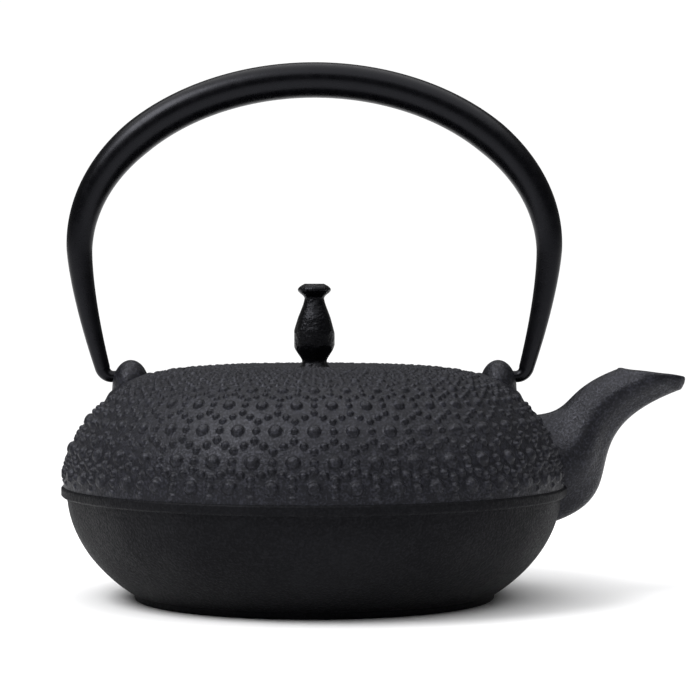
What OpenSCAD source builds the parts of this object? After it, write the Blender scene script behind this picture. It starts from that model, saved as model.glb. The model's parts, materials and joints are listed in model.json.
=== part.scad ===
// Cast iron teapot with a swinging bail handle, a turned-dome lid and a lift-out strainer.
// The origin is the middle of the foot ring on the table. +Z is up and the spout points to +X.

/* [Pot] */
// Radius of the upper half where it meets the flange
belly_r = 85.7; // [71:0.1:104]
// Height of the crown's centre above the table
crown_z = 79.7; // [66:0.1:96]
// Height of the line where the upper half meets the bowl
belly_z = 37; // [31:0.5:45]
// How far the shoulder point stands inside the belly radius
shoulder_in = 13.6; // [11:0.1:17]
// How far the shoulder point lies below the crown
shoulder_drop = 12.7; // [10.5:0.1:15.3]
// Slope of the shoulder at that point, in degrees
shoulder_slope = 44.4; // [37:0.1:52]
// Thickness of the cast wall
wall = 3.2; // [2.6:0.1:4]
// Thickness of the cast floor
floor_t = 3.6; // [3:0.1:4.4]

/* [Flange and foot] */
// How far the flange stands out from the upper half
flange_out = 0.8; // [0.6:0.1:3]
// Height of the flange's edge
flange_h = 3.4; // [2.8:0.1:4.2]
// How much smaller the bowl is than the upper half
bowl_in = 1.2; // [1:0.1:2]
// How far below the table the curve of the bowl would close
bowl_deep = 9; // [7:0.5:12]
// Height of the foot ring
foot_h = 2.5; // [2:0.1:3]
// How far the foot ring is set in from the bowl
foot_in = 1.3; // [1:0.1:2]
// Width of the foot ring
foot_w = 6; // [5:0.1:8]

/* [Lid] */
// Radius of the lid
lid_r = 45; // [37.5:0.5:54]
// Gap all round between lid and pot
lid_gap = 0.4; // [0.3:0.05:0.6]
// Depth of the step that the lid sits in
seat_deep = 4.3; // [3.8:0.1:5.2]
// Width of the ledge under the lid
ledge_w = 6.4; // [5.4:0.1:7.4]
// Thickness of the ledge
ledge_t = 3.4; // [2.8:0.1:4]
// Thickness of the lid's plate
lid_t = 3; // [2.5:0.1:3.4]
// Radius of the shallow dish in the middle of the lid
dish_r = 24; // [20:0.5:29]
// Depth of that dish
dish_deep = 1.1; // [0.8:0.1:1.4]
// Thickness of the skirt under the lid
skirt_t = 2.4; // [2:0.1:3]
// How far the skirt reaches below the ledge's top
skirt_deep = 5.5; // [4.5:0.1:6.5]

/* [Knob] */
// Height of the knob above the lid
knob_h = 29.1; // [24.3:0.1:34.9]
// Radius of the knob's spreading base
knob_base_r = 4.2; // [3.8:0.1:5]
// Radius of the knob's waist just above its base
knob_waist_r = 3.9; // [3.3:0.1:4.6]
// Radius of the knob's bulb
knob_bulb_r = 7; // [5.9:0.1:8.4]
// Radius of the knob's neck
knob_neck_r = 2.9; // [2.4:0.1:3.4]
// Radius of the knob's cap
knob_cap_r = 5.4; // [4.5:0.1:6.4]
// Radius of the tang that holds the knob on the lid
tang_r = 2; // [1.7:0.05:2.4]
// Radius of the washer under the lid
washer_r = 6.5; // [5.5:0.1:7.8]
// Thickness of the washer
washer_t = 1.2; // [1:0.1:1.5]
// Radius of the peened end of the tang
rivet_r = 3.6; // [3.2:0.1:4.3]

/* [Lugs and bail] */
// Gap between the lid's step and each lug, along X
lug_gap = 11.3; // [9.5:0.1:13.5]
// Radius of a lug, seen along its hole
lug_r = 9; // [8:0.1:10.8]
// Half the thickness of a lug, along its hole
lug_half_t = 6.3; // [5.3:0.1:7.5]
// How far a lug's centre lies below the surface it grows from
lug_sink = 1.2; // [1:0.1:3]
// How far the hole stands above the lug's centre
hole_rise = 3.3; // [2.8:0.1:3.8]
// Radius of the pins that the bail swings on
pin_r = 2; // [1.7:0.05:2.4]
// Clearance all round between a pin and its hole
pin_fit = 0.08; // [0.02:0.01:0.1]
// Gap between a lug and the end of the bail's elbow
elbow_gap = 0.3; // [0.2:0.05:0.6]
// Radius of the bend from leg to pin
elbow_r = 3.6; // [3:0.1:4.3]
// How far the middle of the bail stands inside the belly radius at its widest
bail_in = 5.2; // [4:0.1:7]
// Height of the bail's widest point above its pins
bail_waist = 43.7; // [36.5:0.1:52]
// Height of the bail's middle at the top above its pins
bail_rise = 101.8; // [85:0.1:122]
// Diameter of the bail along the grip
grip_d = 12.2; // [10.2:0.1:14.6]
// Diameter of the bail where it meets the elbow
leg_d = 4.4; // [4.2:0.1:5.2]
// Height above the pins where the grip reaches its full diameter
taper_h = 81.7; // [68:0.1:98]

/* [Spout] */
// How far the spout's tip reaches beyond the belly
spout_reach = 42; // [35:0.5:50]
// How far the spout's tip lies below the crown
tip_drop = 6.1; // [4:0.1:8.5]
// Length of the slanting mouth along X
mouth_len = 23.5; // [19.5:0.5:28]
// Height of the mouth's back edge above the tip
mouth_rise = 4.6; // [3.5:0.1:5.5]
// Half the spout's width at its root
root_half_w = 13; // [11:0.1:15.5]
// Half the spout's width at its mouth
mouth_half_w = 8; // [7:0.1:9.6]
// Thickness of the spout's wall
spout_wall = 2.4; // [2:0.1:2.8]

/* [Strainer] */
// Depth of the strainer below the ledge
strainer_deep = 47.4; // [39.5:0.1:56.9]
// Thickness of the strainer's sheet
sheet_t = 0.8; // [0.65:0.05:0.95]
// Thickness of the strainer's mesh wall
mesh_t = 0.6; // [0.5:0.05:0.7]
// Gap all round between the strainer's collar and the pot's mouth
strainer_gap = 0.8; // [0.6:0.05:1]
// Width of the strainer's rim on the ledge
rim_w = 5; // [4:0.1:5.6]
// Height of the collar that grips the mesh
collar_h = 6; // [5:0.1:7]

/* [Hidden] */

$fn = 96;
curve_steps = 14; // straight pieces in one curve of an outline
sit = 0.05; // gap between two faces that rest on each other
turn_gap = 0.1; // gap at faces that turn against each other
past = 1; // how far a cut runs past the face that it opens

cast_black = [0.13, 0.13, 0.14];
satin_black = [0.09, 0.09, 0.1];
steel = [0.72, 0.72, 0.7];

// A point of a cubic curve with ends a and d and handles b and c.
function cubic(a, b, c, d, t) =
    pow(1 - t, 3) * a + 3 * pow(1 - t, 2) * t * b + 3 * (1 - t) * t * t * c + pow(t, 3) * d;
// The curve's direction there.
function cubic_way(a, b, c, d, t) =
    pow(1 - t, 2) * (b - a) + 2 * (1 - t) * t * (c - b) + t * t * (d - c);
function mix(a, b, t) = a + (b - a) * t;
// A step from 0 to 1 that starts and ends level.
function ease(t) = (1 - cos(180 * t)) / 2;

// ---- outline of the pot: an upper half of two curves and a bowl ----
shoulder = [belly_r - shoulder_in, crown_z - shoulder_drop];
slope_way = [cos(shoulder_slope), -sin(shoulder_slope)];
slope_out = [sin(shoulder_slope), cos(shoulder_slope)];
crown_pull = 0.733; // where the crown starts to fall, as a share of the shoulder's radius
crown_hold = 13.1; // how long the curve follows the slope above the shoulder
side_hold = 9.1; // and below it
side_pull = 13.3; // how far the side stands upright above the flange
bowl_z = belly_z - 1;
bowl_h = bowl_z + bowl_deep;
bowl_flat = 1.8; // exponents of the bowl's rounded shape
bowl_full = 3;
floor_z = foot_h + floor_t;

// The upper half from the axis down to the flange, moved inwards by inset.
function upper_pts(inset) =
    let (s = shoulder - inset * slope_out,
         top = [0, crown_z - inset],
         side = [belly_r - inset, belly_z])
    concat(
        [for (i = [0 : curve_steps])
            cubic(top, [crown_pull * shoulder.x, top.y], s - crown_hold * slope_way, s,
                  i / curve_steps)],
        [for (i = [1 : curve_steps])
            cubic(s, s + side_hold * slope_way, side + [0, side_pull], side, i / curve_steps)]);

function bowl_r(z, inset) =
    (belly_r - bowl_in - inset)
    * pow(1 - pow((bowl_z - z) / (bowl_h - inset), bowl_flat), 1 / bowl_full);

// The bowl from just under the flange down to the height low.
function bowl_pts(low, inset) =
    [for (i = [0 : curve_steps])
        let (z = mix(bowl_z, low, sin(90 * i / curve_steps)))
        [bowl_r(z, inset), z]];

crown_line = upper_pts(0);
// Height of the pot's outside at the distance r from the axis.
function crown_height(r) = lookup(r, [for (p = crown_line) if (p.y > belly_z + side_pull) p]);

seat_r = lid_r + lid_gap;
ledge_z = crown_height(seat_r) - seat_deep;
mouth_r = seat_r - ledge_w;
neck_r = seat_r + wall;
foot_r = bowl_r(foot_h, 0) - foot_in;

module pot_form() rotate_extrude()
    polygon(concat(crown_line, bowl_pts(foot_h, 0), [[0, foot_h]]));

module cavity()
    let (inner = [for (p = upper_pts(wall)) if (p.x > neck_r) p])
    rotate_extrude()
    polygon(concat(
        [[0, ledge_z - ledge_t], [neck_r, ledge_z - ledge_t],
         [neck_r, lookup(neck_r, [for (p = upper_pts(wall)) if (p.y > belly_z + side_pull) p])]],
        inner, bowl_pts(floor_z, wall), [[0, floor_z]]));

flange_low_cut = 0.8; // chamfers on the flange's two edges
flange_top_cut = 0.6;

module flange()
    let (top = belly_z + flange_h / 2, low = belly_z - flange_h / 2,
         edge = belly_r + flange_out, inner = belly_r - bowl_in - wall / 2)
    rotate_extrude()
    polygon([[inner, low], [edge - flange_low_cut, low], [edge, low + flange_low_cut],
             [edge, top - flange_top_cut], [edge - flange_top_cut, top], [inner, top]]);

module foot_ring() difference() {
    cylinder(r = foot_r, h = foot_h + wall / 2);
    translate([0, 0, -past]) cylinder(r = foot_r - foot_w, h = foot_h + wall + 2 * past);
}

// ---- spout: oval rings between an upper and a lower edge ----
spout_rings = 16;
spout_sides = 28;
tip = [belly_r + spout_reach, crown_z - tip_drop];
lip = tip + [-mouth_len, mouth_rise];
// Both edges start inside the pot's wall. Each pull sets how long a curve keeps to its end's direction.
root_top = shoulder + [0.9, -4.7];
root_low = [belly_r - 7.7, belly_z - 12.4];
root_top_pull = [17.6, 0.6];
lip_pull = [21.2, 7.9];
root_low_pull = [36.4, 9.4];
tip_pull = [44.3, 17.6];
steepest_cut = 0.5; // keeps the wall's slanting cut finite
narrowing = 1.15; // the spout reaches its mouth's width a little before its end

upper_edge = [root_top, root_top + root_top_pull, lip - lip_pull, lip];
lower_edge = [root_low, root_low + root_low_pull, tip - tip_pull, tip];

function edge_at(e, t) = cubic(e[0], e[1], e[2], e[3], t);
function edge_way(e, t) = let (w = cubic_way(e[0], e[1], e[2], e[3], t)) w / norm(w);
function across(a, b) = abs(a.x * b.y - a.y * b.x);

// One ring at t along the spout, with a wall taken off inside when inset is above 0.
function spout_ring(t, inset) =
    let (up = edge_at(upper_edge, t), low = edge_at(lower_edge, t),
         u = (up - low) / norm(up - low),
         a = up - u * inset / max(steepest_cut, across(u, edge_way(upper_edge, t))),
         b = low + u * inset / max(steepest_cut, across(u, edge_way(lower_edge, t))),
         mid = (a + b) / 2, half = (a - b) / 2,
         w = mix(root_half_w, mouth_half_w, ease(min(1, narrowing * t))) - inset)
    [for (i = [0 : spout_sides - 1])
        let (g = 360 * i / spout_sides, c = mid + half * cos(g))
        [c.x, w * sin(g), c.y]];

// A closed skin over a list of rings that all have the same number of points.
module skin(rings)
    let (n = len(rings[0]), m = len(rings))
    polyhedron(
        points = [for (ring = rings) each ring],
        faces = concat(
            [[for (i = [n - 1 : -1 : 0]) i]],
            [[for (i = [0 : n - 1]) (m - 1) * n + i]],
            [for (k = [0 : m - 2], i = [0 : n - 1])
                [k * n + i, (k + 1) * n + (i + 1) % n, (k + 1) * n + i]],
            [for (k = [0 : m - 2], i = [0 : n - 1])
                [k * n + i, k * n + (i + 1) % n, (k + 1) * n + (i + 1) % n]]));

module spout_form() skin([for (k = [0 : spout_rings]) spout_ring(k / spout_rings, 0)]);

// The channel runs past the mouth, so that the cut is clean.
module spout_channel()
    let (along = (lip - tip) / norm(lip - tip), beyond = 4 * past * [-along.y, along.x])
    skin(concat(
        [for (k = [0 : spout_rings]) spout_ring(k / spout_rings, spout_wall)],
        [[for (p = spout_ring(1, spout_wall)) p - [beyond.x, 0, beyond.y]]]));

// ---- lugs and pivots ----
lug_x = seat_r + lug_gap + lug_half_t;
lug_z = crown_height(lug_x) - lug_sink;
pivot_z = lug_z + hole_rise;
lug_face_x = lug_x + lug_half_t * sqrt(1 - pow(hole_rise / lug_r, 2));

lug_rings = 12;
lug_sides = 24;
lug_cut = 12; // angle at which the half ellipse ends in a flat face, in degrees

// A rounded ear: discs along X whose size follows a half ellipse.
module lug_form() skin([for (i = [0 : lug_rings])
    let (g = mix(lug_cut, 180 - lug_cut, i / lug_rings))
    [for (k = [0 : lug_sides - 1])
        let (a = 360 * k / lug_sides)
        [-lug_half_t * cos(g), lug_r * sin(g) * sin(a), lug_r * sin(g) * cos(a)]]]);

module at_lugs() for (side = [-1, 1]) translate([side * lug_x, 0, 0]) children();

module body() color(cast_black) difference() {
    union() {
        pot_form();
        flange();
        foot_ring();
        spout_form();
        at_lugs() translate([0, 0, lug_z]) lug_form();
    }
    cavity();
    spout_channel();
    translate([0, 0, ledge_z]) cylinder(r = seat_r, h = seat_deep + 5 * past);
    translate([0, 0, ledge_z - ledge_t - past]) cylinder(r = mouth_r, h = crown_z);
    at_lugs() translate([-lug_half_t - past, 0, pivot_z]) rotate([0, 90, 0])
        cylinder(r = pin_r + pin_fit, h = 2 * lug_half_t + 2 * past);
}

// ---- lid, knob and washer ----
rim_top_z = ledge_z + sit + sheet_t;
lid_low_z = rim_top_z + turn_gap;
collar_out_r = mouth_r - strainer_gap;
mesh_out_r = collar_out_r - sheet_t - sit;
mesh_in_r = mesh_out_r - mesh_t;
skirt_gap = 0.8; // gap all round between the skirt and the strainer
skirt_r = mesh_in_r - skirt_gap;
plate_low_z = crown_height(skirt_r) - lid_t;
hole_r = tang_r + turn_gap;

dish_low_z = crown_height(dish_r) - dish_deep;
dish_steps = 7;

// A bowl-shaped cutter that leaves the lid's surface at dish_r.
module dish() rotate_extrude() polygon(concat(
    [for (k = [0 : dish_steps + 1])
        [dish_r * k / dish_steps, dish_low_z + dish_deep * pow(k / dish_steps, 2)]],
    [[0, dish_low_z + 2 * dish_deep]]));

module lid() color(cast_black) difference() {
    intersection() {
        pot_form();
        union() {
            translate([0, 0, lid_low_z]) cylinder(r = lid_r, h = crown_z);
            translate([0, 0, ledge_z - skirt_deep]) cylinder(r = skirt_r, h = crown_z);
        }
    }
    translate([0, 0, ledge_z - skirt_deep - past])
        cylinder(r = skirt_r - skirt_t, h = plate_low_z - ledge_z + skirt_deep + past);
    translate([0, 0, ledge_z]) cylinder(r = hole_r, h = crown_z);
    dish();
}

knob_z = dish_low_z + turn_gap;
// Stations up the knob: share of its height and radius there.
knob_line = [[0, knob_base_r], [0.09, knob_waist_r], [0.34, knob_bulb_r], [0.81, knob_neck_r]];
// The same for the cap, with each radius given as what is taken off the cap's full radius.
cap_line = [[0.85, knob_cap_r - knob_neck_r], [0.893, 0.5], [0.92, 0], [0.947, 0], [1, 1.2]];

function knob_curve(k) =
    [for (i = [0 : curve_steps - 1])
        let (t = i / curve_steps)
        [mix(knob_line[k][1], knob_line[k + 1][1], ease(t)),
         knob_h * mix(knob_line[k][0], knob_line[k + 1][0], t)]];

module lid_knob() color(cast_black) union() {
    translate([0, 0, knob_z]) rotate_extrude() polygon(concat(
        [[0, 0]], knob_curve(0), knob_curve(1), knob_curve(2),
        [for (p = cap_line) [knob_cap_r - p[1], knob_h * p[0]]], [[0, knob_h]]));
    translate([0, 0, rivet_z]) cylinder(r = tang_r, h = knob_z - rivet_z + past);
    translate([0, 0, rivet_z]) rotate_extrude() polygon(concat(
        [[0, 0]], [for (g = [0 : 15 : 90]) [rivet_r * cos(g), -rivet_h * sin(g)]]));
}

rivet_h = 1.5;
washer_z = plate_low_z - turn_gap - washer_t;
rivet_z = washer_z - sit;

module knob_washer() color(steel) translate([0, 0, washer_z]) difference() {
    cylinder(r = washer_r, h = washer_t);
    translate([0, 0, -past]) cylinder(r = tang_r + sit, h = washer_t + 2 * past);
}

// ---- bail: a tapering round bar on one smooth line, with a pin at each end ----
bail_half = belly_r - bail_in;
arc_h = bail_rise - bail_waist;
pin_x = lug_face_x + elbow_gap;
leg_bow = 1.5; // power of the leg's inward curve
leg_lean = atan(leg_bow * (bail_half - pin_x - elbow_r) / bail_waist);
elbow_z = pivot_z + elbow_r * (1 - sin(leg_lean));
elbow_x = pin_x + elbow_r * cos(leg_lean);
pin_len = 10;
pin_root = 0.4; // how far a pin reaches into its elbow
bail_sides = 16;
arch_steps = 18;
leg_steps = 8;
bend_steps = 6;

function leg_x(h) = mix(bail_half, elbow_x, pow(h, leg_bow));
function bar_d(z) = mix(leg_d, grip_d, max(0, min(1, (z - pivot_z) / taper_h)));

// Half of the bail's middle line from the top to the pin: [x, z, diameter].
function bail_half_line() = concat(
    [for (i = [0 : arch_steps - 1])
        let (g = 90 * i / arch_steps, z = pivot_z + bail_waist + arc_h * cos(g))
        [bail_half * sin(g), z, bar_d(z)]],
    [for (i = [0 : leg_steps - 1])
        let (z = mix(pivot_z + bail_waist, elbow_z, i / leg_steps))
        [leg_x(i / leg_steps), z, bar_d(z)]],
    [for (i = [0 : bend_steps])
        let (t = i / bend_steps, g = mix(leg_lean, 90, t))
        [pin_x + elbow_r * cos(g), pivot_z + elbow_r * (1 - sin(g)),
         mix(bar_d(elbow_z), 2 * pin_r, t)]]);

function mirrored(line) = [for (i = [len(line) - 1 : -1 : 1]) [-line[i][0], line[i][1], line[i][2]]];
bail_line = concat(mirrored(bail_half_line()), bail_half_line());

// A round ring on the line at point i, square to the line.
function bail_ring(i) =
    let (last = len(bail_line) - 1,
         a = bail_line[max(0, i - 1)], b = bail_line[min(last, i + 1)],
         w = (i == 0 || i == last) ? [1, 0] * (i == 0 ? -1 : -1) : [b[0] - a[0], b[1] - a[1]],
         d = w / norm(w), r = bail_line[i][2] / 2)
    [for (k = [0 : bail_sides - 1])
        let (g = 360 * k / bail_sides)
        [bail_line[i][0] - d.y * r * cos(g), r * sin(g), bail_line[i][1] + d.x * r * cos(g)]];

module bail_handle() color(satin_black) {
    skin([for (i = [0 : len(bail_line) - 1]) bail_ring(i)]);
    for (side = [-1, 1])
        translate([side * (pin_x - pin_len), 0, pivot_z]) rotate([0, side * 90, 0])
            cylinder(r = pin_r, h = pin_len + pin_root);
}

// ---- strainer ----
mesh_low_z = ledge_z - strainer_deep;
rim_r = collar_out_r - sheet_t + rim_w;
mesh_tuck = 1; // how far the mesh's top lies below the ledge
mesh_top_z = ledge_z - mesh_tuck;

module strainer_rim() color(steel) difference() {
    union() {
        translate([0, 0, ledge_z + sit]) cylinder(r = rim_r, h = sheet_t);
        translate([0, 0, ledge_z - collar_h]) cylinder(r = collar_out_r, h = collar_h + sheet_t);
    }
    translate([0, 0, ledge_z - collar_h - past])
        cylinder(r = collar_out_r - sheet_t, h = collar_h + 5 * past);
}

module strainer_mesh() color(steel) translate([0, 0, mesh_low_z]) difference() {
    cylinder(r = mesh_out_r, h = mesh_top_z - mesh_low_z);
    translate([0, 0, -past]) cylinder(r = mesh_in_r, h = strainer_deep + 2 * past);
}

module strainer_base() color(steel) translate([0, 0, mesh_low_z - sit - sheet_t]) difference() {
    cylinder(r = mesh_out_r + sit + mesh_t, h = collar_h);
    translate([0, 0, sheet_t]) cylinder(r = mesh_out_r + sit, h = collar_h);
}

body();
lid();
lid_knob();
knob_washer();
bail_handle();
strainer_rim();
strainer_mesh();
strainer_base();
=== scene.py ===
"""Looks of a cast iron teapot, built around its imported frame. Metres, +Z up, spout towards +X."""
import json
import math

import bpy
import numpy as np
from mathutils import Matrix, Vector


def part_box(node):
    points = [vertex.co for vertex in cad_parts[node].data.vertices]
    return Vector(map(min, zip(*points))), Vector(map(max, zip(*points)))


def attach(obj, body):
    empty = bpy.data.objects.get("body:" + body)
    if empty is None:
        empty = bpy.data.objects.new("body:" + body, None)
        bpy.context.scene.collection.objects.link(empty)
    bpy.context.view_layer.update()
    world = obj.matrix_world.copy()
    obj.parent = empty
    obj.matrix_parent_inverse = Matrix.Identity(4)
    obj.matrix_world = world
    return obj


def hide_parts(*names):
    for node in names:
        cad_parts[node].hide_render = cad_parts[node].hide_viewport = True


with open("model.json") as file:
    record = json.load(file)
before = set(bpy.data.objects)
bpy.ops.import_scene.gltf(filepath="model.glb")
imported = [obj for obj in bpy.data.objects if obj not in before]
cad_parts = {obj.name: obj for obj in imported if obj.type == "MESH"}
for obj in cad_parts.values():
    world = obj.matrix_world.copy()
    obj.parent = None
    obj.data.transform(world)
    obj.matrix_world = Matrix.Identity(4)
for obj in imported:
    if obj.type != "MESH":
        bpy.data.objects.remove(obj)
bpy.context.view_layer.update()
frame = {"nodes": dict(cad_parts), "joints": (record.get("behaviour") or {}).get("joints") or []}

MM = 0.001
TURN = 2 * math.pi
JOIN = 0.002 * MM


# ---------------------------------------------------------------- sizes, from the frame

pot_low, pot_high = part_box("body")
lid_low, lid_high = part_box("lid")
knob_low, knob_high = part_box("lid_knob")
rim_low, rim_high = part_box("strainer_rim")
mesh_low, mesh_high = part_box("strainer_mesh")
cup_low, cup_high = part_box("strainer_base")
pivot_z = next(j["pos_m"][2] for j in frame["joints"] if j["name"] == "bail_swing")

flange_r = -pot_low.x
belly_r = flange_r - 0.8 * MM
belly_z = 37 * MM
crown_z = 79.7 * MM
lid_r = lid_high.x
wall = 3.2 * MM
seat_r = lid_r + 0.4 * MM
mouth_r = seat_r - 6.4 * MM
neck_r = seat_r + wall
foot_h = 2.5 * MM
floor_z = foot_h + 3.6 * MM

shoulder = np.array([belly_r - 13.6 * MM, crown_z - 12.7 * MM])
SHOULDER_SLOPE = math.radians(44.4)
slope_way = np.array([math.cos(SHOULDER_SLOPE), -math.sin(SHOULDER_SLOPE)])
slope_out = np.array([math.sin(SHOULDER_SLOPE), math.cos(SHOULDER_SLOPE)])
side_pull = 13.3 * MM
DISH_R, DISH_DEEP = 24 * MM, 1.1 * MM
bowl_top_z = belly_z - 1 * MM
bowl_h = bowl_top_z + 9 * MM


# ---------------------------------------------------------------- curves and surfaces

def cubic(a, b, c, d, t):
    """A cubic curve from a to d with handles b and c. Each point is weighted by one term of the cube of
    (1 - t) + t."""
    a, b, c, d = (np.asarray(p, float) for p in (a, b, c, d))
    t = np.asarray(t, float)[..., None]
    return (1 - t) ** 3 * a + 3 * (1 - t) ** 2 * t * b + 3 * (1 - t) * t ** 2 * c + t ** 3 * d


def ease(t):
    """A step from 0 to 1 with level ends: three t squared less two t cubed, held outside."""
    t = np.clip(t, 0, 1)
    return t * t * (3 - 2 * t)


def along(line, count):
    """Points evenly spaced by length along a line."""
    line = np.asarray(line, float)
    length = np.r_[0, np.cumsum(np.linalg.norm(np.diff(line, axis=0), axis=1))]
    at = np.linspace(0, length[-1], count)
    return np.stack([np.interp(at, length, line[:, k]) for k in range(line.shape[1])], axis=1)


def stretches(points, step):
    """A line through corner points with about one point per step on each straight stretch."""
    points = np.asarray(points, float)
    out = [points[:1]]
    for a, b in zip(points[:-1], points[1:]):
        n = max(1, int(round(np.linalg.norm(b - a) / step)))
        t = np.linspace(0, 1, n + 1)[1:, None]
        out.append(a + (b - a) * t)
    return np.concatenate(out)


def rounded(points, radius, steps=5):
    """A line with its inner corners cut back by radius and rounded by a curve that leans on the corner."""
    points = [np.asarray(p, float) for p in points]
    out = [points[0]]
    t = np.linspace(0, 1, steps)[:, None]
    for a, p, b in zip(points[:-2], points[1:-1], points[2:]):
        r = min(radius, 0.45 * np.linalg.norm(a - p), 0.45 * np.linalg.norm(b - p))
        s = p + (a - p) / np.linalg.norm(a - p) * r
        e = p + (b - p) / np.linalg.norm(b - p) * r
        out.extend((1 - t) ** 2 * s + 2 * (1 - t) * t * p + t ** 2 * e)
    out.append(points[-1])
    return np.array(out)


def spin(line, columns):
    """A surface of revolution about Z: each point (r, z) of the line goes to (r cos a, r sin a, z)."""
    line = np.asarray(line, float)
    a = np.arange(columns) * TURN / columns
    r, z = line[:, 0][:, None], line[:, 1][:, None]
    return np.stack([r * np.cos(a), r * np.sin(a), z + 0 * a], axis=-1)


def grid_triangles(rows, columns, wrap_rows):
    """Two triangles for each cell of a grid of points, as indices, cell by cell. The columns always close
    round, and the rows where wrap_rows says so."""
    i, j = np.meshgrid(np.arange(rows if wrap_rows else rows - 1), np.arange(columns), indexing="ij")
    ii, jj = (i + 1) % rows, (j + 1) % columns
    a, b, c, d = i * columns + j, i * columns + jj, ii * columns + jj, ii * columns + j
    return np.stack([np.stack([a, c, b], -1), np.stack([a, d, c], -1)], axis=2)


def mesh_piece(name, points, triangles, material, smooth=True, normals=None):
    """A mesh object from points and triangles. Points that coincide are joined, which closes seams and
    poles, and empty triangles are dropped."""
    points = np.asarray(points, float).reshape(-1, 3)
    triangles = np.asarray(triangles).reshape(-1, 3)
    key = np.round(points / JOIN).astype(np.int64)
    _, first, same = np.unique(key, axis=0, return_index=True, return_inverse=True)
    triangles = same.reshape(-1)[triangles]
    good = ((triangles[:, 0] != triangles[:, 1]) & (triangles[:, 1] != triangles[:, 2])
            & (triangles[:, 0] != triangles[:, 2]))
    used, triangles = np.unique(triangles[good], return_inverse=True)
    triangles = triangles.reshape(-1, 3)
    kept = first[used]
    mesh = bpy.data.meshes.new(name)
    mesh.vertices.add(len(kept))
    mesh.vertices.foreach_set("co", points[kept].astype(np.float32).ravel())
    mesh.loops.add(triangles.size)
    mesh.loops.foreach_set("vertex_index", triangles.astype(np.int32).ravel())
    mesh.polygons.add(len(triangles))
    mesh.polygons.foreach_set("loop_start", np.arange(0, triangles.size, 3, dtype=np.int32))
    mesh.update(calc_edges=True)
    mesh.polygons.foreach_set("use_smooth", np.full(len(triangles), smooth))
    mesh.validate()
    if normals is not None:
        mesh.normals_split_custom_set_from_vertices(np.asarray(normals).reshape(-1, 3)[kept].tolist())
    piece = bpy.data.objects.new(name, mesh)
    bpy.context.scene.collection.objects.link(piece)
    mesh.materials.append(material)
    return piece


def sheet_piece(name, grid, material, wrap_rows=False, flip=False, keep=None, smooth=True, normals=None):
    """A piece from a grid of points. keep, if given, says for each cell whether it is there."""
    rows, columns = grid.shape[:2]
    tri = grid_triangles(rows, columns, wrap_rows)
    if keep is not None:
        tri = tri[keep]
    tri = tri.reshape(-1, 3)
    if flip:
        tri = tri[:, ::-1]
    return mesh_piece(name, grid, tri, material, smooth, normals)


def grid_normals(grid):
    """Outward unit normals of a grid that closes round: the cross product of its two central differences."""
    down = np.gradient(grid, axis=0)
    side = (np.roll(grid, -1, axis=1) - np.roll(grid, 1, axis=1)) / 2
    n = np.cross(down, side)
    return n / np.maximum(np.linalg.norm(n, axis=-1, keepdims=True), 1e-12)


def place(piece, body, slot, *nodes):
    """Ties a piece to its body and hides the frame nodes that it stands for. slot is not used."""
    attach(piece, body)
    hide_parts(*nodes)


# ---------------------------------------------------------------- shader maths

class Value:
    """A shader socket that takes part in sums: + - and * build Math nodes, on either side of a number."""

    def __init__(self, finish, socket):
        self.finish = finish
        self.socket = socket

    def _math(self, operation, *values):
        return self.finish.node("ShaderNodeMath", {"operation": operation}, *values)

    def __add__(self, other):
        return self._math("ADD", self, other)

    def __radd__(self, other):
        return self._math("ADD", other, self)

    def __sub__(self, other):
        return self._math("SUBTRACT", self, other)

    def __rsub__(self, other):
        return self._math("SUBTRACT", other, self)

    def __mul__(self, other):
        return self._math("MULTIPLY", self, other)

    def __rmul__(self, other):
        return self._math("MULTIPLY", other, self)


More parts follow.
